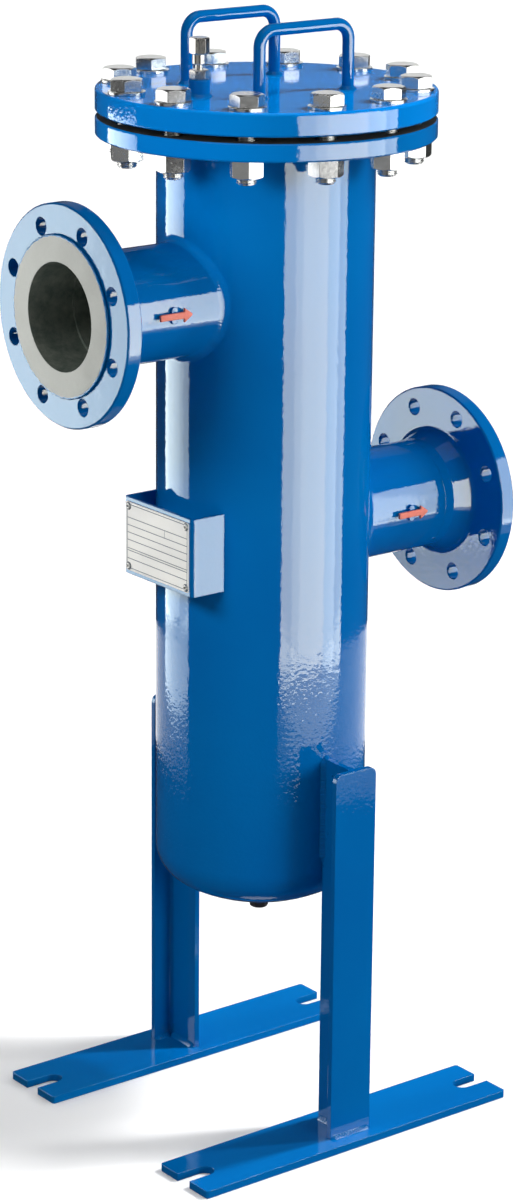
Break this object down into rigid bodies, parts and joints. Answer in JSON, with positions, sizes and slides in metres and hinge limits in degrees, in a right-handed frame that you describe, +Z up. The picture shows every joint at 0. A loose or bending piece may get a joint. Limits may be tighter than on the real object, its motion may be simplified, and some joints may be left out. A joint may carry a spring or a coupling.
{
  "type": "hydraulic filter",
  "caption": "Upright pipe-vessel hydraulic filter with a bolted lid and handles, flanged inlet and outlet, hanging pleated element and slotted flat-bar feet.",
  "frame": {"origin": "on the floor, under the vessel's axis and midway between the flange faces", "axes": "+Z up along the vessel's axis, -X out of the inlet, +X out of the outlet, -Y to the front leg"},
  "size_m": [0.5, 0.354, 1.154],
  "materials": {
    "blue_paint": "gloss blue paint",
    "zinc_plate": "bright zinc plate",
    "bare_steel": "bare steel",
    "bright_fitting": "bright plated",
    "brass_cone": "turned",
    "red_arrow": "satin red paint",
    "plate_metal": "satin, bare of text",
    "black_steel": "black oxide",
    "copper_ring": "soft copper",
    "gasket_fibre": "fibre sheet",
    "black_rubber": "moulded",
    "spring_steel": "ground wire",
    "pleated_medium": "pleated glass fibre"
  },
  "bodies": {
    "vessel": {"shell": "blue_paint", "dished_bottom": "blue_paint", "shell_flange": "blue_paint", "lid_gasket": "gasket_fibre", "element_seat": "bare_steel", "inlet_flange": "blue_paint", "inlet_pipe": "blue_paint", "outlet_flange": "blue_paint", "outlet_pipe": "blue_paint", "inlet_arrow": "red_arrow", "outlet_arrow": "red_arrow", "arrow_lugs": "blue_paint", "nameplate_bracket": "blue_paint", "nameplate": "plate_metal", "nameplate_rivets": "plate_metal", "front_leg": "blue_paint", "rear_leg": "blue_paint", "front_foot": "blue_paint", "rear_foot": "blue_paint", "drain_boss": "blue_paint"},
    "lid": {"lid": "blue_paint", "lid_bolts": "zinc_plate", "lid_washers": "zinc_plate", "front_handle": "blue_paint", "rear_handle": "blue_paint", "vent_boss": "blue_paint", "vent_fitting": "bright_fitting"},
    "nuts": {"lid_nuts": "zinc_plate"},
    "vent_plug": {"vent_plug": "brass_cone"},
    "vent_cap": {"vent_cap": "bright_fitting"},
    "drain_seal": {"drain_seal": "copper_ring"},
    "drain_plug": {"drain_plug": "black_steel"},
    "element": {"element_head": "bare_steel", "element_oring": "black_rubber", "element_media": "pleated_medium", "element_support": "bare_steel", "element_bottom": "bare_steel", "bypass_cage": "bare_steel", "bypass_spring": "spring_steel"},
    "bail": {"element_bail": "bare_steel"},
    "bypass_valve": {"bypass_valve": "brass_cone"}
  },
  "joints": [
    {"name": "lid_lift", "type": "slide", "parent": "vessel", "child": "lid", "axis": [0, 0, 1], "range_m": [0, 0.9]},
    {"name": "element_lift", "type": "slide", "parent": "vessel", "child": "element", "axis": [0, 0, 1], "range_m": [0, 0.82]},
    {"name": "nuts_off", "type": "slide", "parent": "vessel", "child": "nuts", "axis": [0, 0, -1], "range_m": [0, 0.08]},
    {"name": "vent_plug_lift", "type": "slide", "parent": "lid", "child": "vent_plug", "axis": [0, 0, 1], "range_m": [0, 0.003]},
    {"name": "vent_cap_turn", "type": "hinge", "parent": "vent_plug", "child": "vent_cap", "pos_m": [-0.0922, -0.01214, 1.13], "axis": [0, 0, 1], "range_deg": [0, 722]},
    {"name": "drain_seal_drop", "type": "slide", "parent": "vessel", "child": "drain_seal", "axis": [0, 0, -1], "range_m": [0, 0.021]},
    {"name": "drain_plug_turn", "type": "hinge", "parent": "drain_seal", "child": "drain_plug", "pos_m": [0, 0, 0.216], "axis": [0, 0, -1], "range_deg": [0, 5045]},
    {"name": "bail_swing", "type": "hinge", "parent": "element", "child": "bail", "pos_m": [0, 0, 0.775], "axis": [0, -1, 0], "range_deg": [0, 190]},
    {"name": "bypass_open", "type": "slide", "parent": "element", "child": "bypass_valve", "axis": [0, 0, -1], "range_m": [0, 0.008], "stiffness_N_per_m": 8000, "springref_m": -0.025, "deforming": ["bypass_spring"]}
  ],
  "couplings": [
    {"joint": "element_lift", "follows": "lid_lift", "ratio": 0.9},
    {"joint": "vent_cap_turn", "follows": "vent_plug_lift", "rad_per_m": 4188.8},
    {"joint": "drain_plug_turn", "follows": "drain_seal_drop", "rad_per_m": 4188.8}
  ]
}
